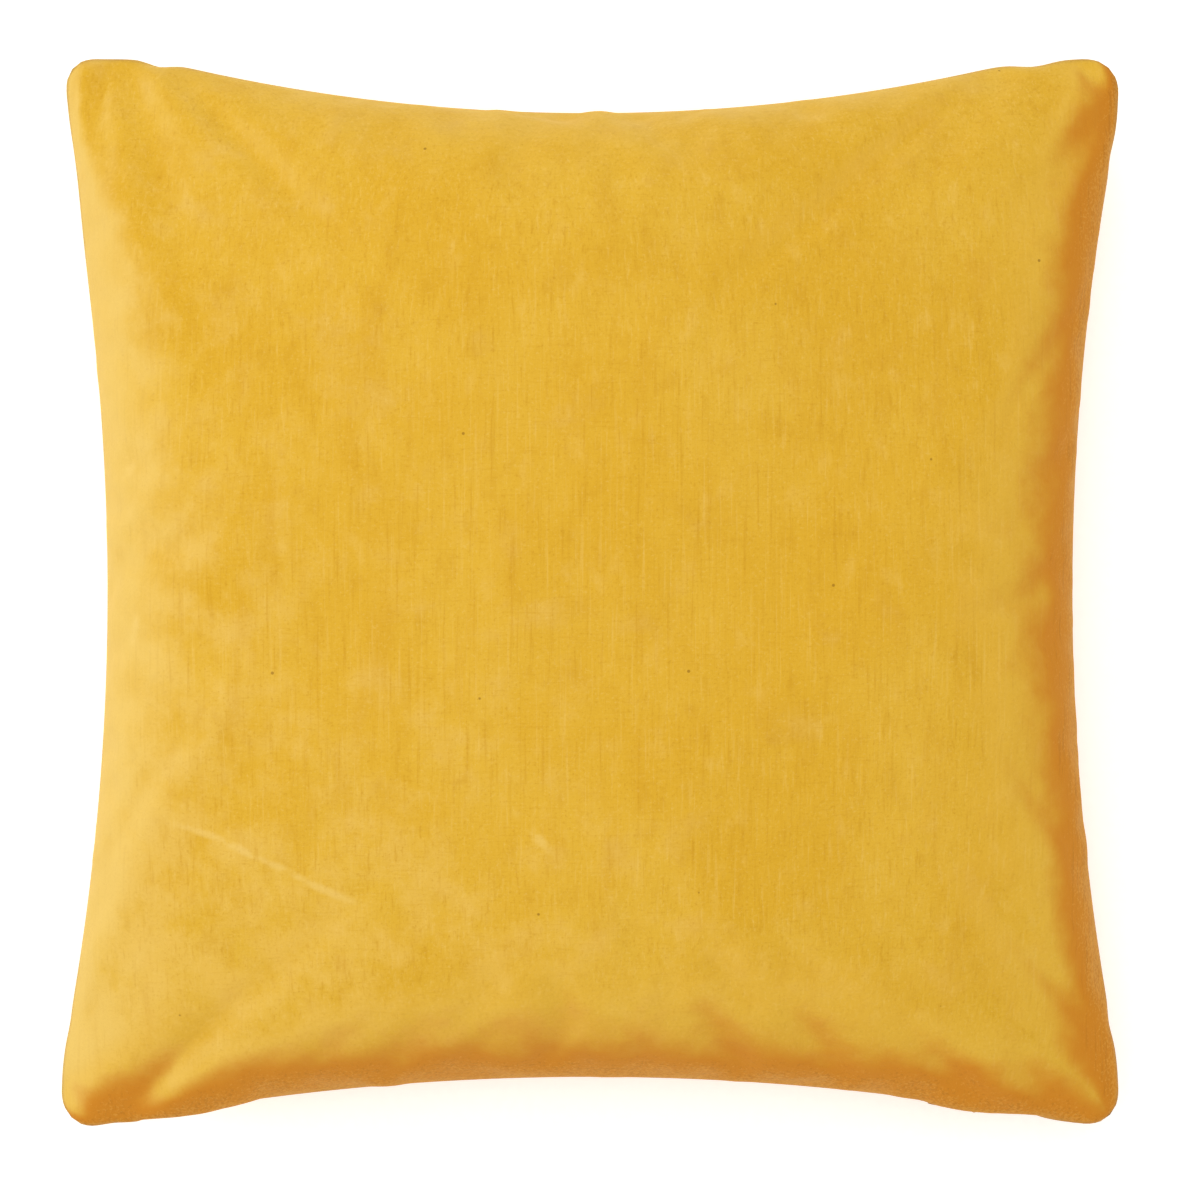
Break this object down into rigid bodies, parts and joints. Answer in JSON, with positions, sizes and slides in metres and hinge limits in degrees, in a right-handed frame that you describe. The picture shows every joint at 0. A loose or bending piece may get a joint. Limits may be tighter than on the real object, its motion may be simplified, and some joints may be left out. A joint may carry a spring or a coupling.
{
  "type": "throw pillow",
  "caption": "Square throw pillow: a velvet cover closed by a concealed zip round a fibre-filled insert.",
  "frame": {"origin": "on the floor under the middle of the pillow, which lies on its back", "axes": "+Z out of the front face, +Y up that face away from the zip, +X to the right of the front face"},
  "size_m": [0.4974, 0.5013, 0.1398],
  "materials": {
    "velvet": "matte",
    "thread": "matte",
    "zip_tape": "matte",
    "zip_coil": "satin",
    "zip_metal": "satin",
    "label_ribbon": "satin",
    "ticking": "matte",
    "white_thread": "matte",
    "fibre": "matte"
  },
  "bodies": {
    "pillow": {"front_panel": "velvet", "back_panel": "velvet", "cover_seam_thread": "thread", "cover_overlock_thread": "thread", "zip_tape_front": "zip_tape", "zip_tape_back": "zip_tape", "zip_coil_front": "zip_coil", "zip_coil_back": "zip_coil", "zip_stitching_front": "thread", "zip_stitching_back": "thread", "zip_top_stop_front": "zip_metal", "zip_top_stop_back": "zip_metal", "zip_bottom_stop": "zip_metal", "care_label": "label_ribbon", "insert_front_ticking": "ticking", "insert_back_ticking": "ticking", "insert_seam_thread": "white_thread", "fibre_fill": "fibre"},
    "zip_slider": {"zip_slider_body": "zip_metal"},
    "zip_pull": {"zip_pull_tab": "zip_metal"}
  },
  "joints": [
    {"name": "slider_travel", "type": "hinge", "parent": "pillow", "child": "zip_slider", "pos_m": [0, -1.40225, 0.066], "axis": [0, 0, 1], "range_deg": [0, 17.76]},
    {"name": "pull_swing", "type": "hinge", "parent": "zip_slider", "child": "zip_pull", "pos_m": [0.18106, -0.24386, 0.066], "axis": [0, 0, 1], "range_deg": [0, 165]}
  ]
}
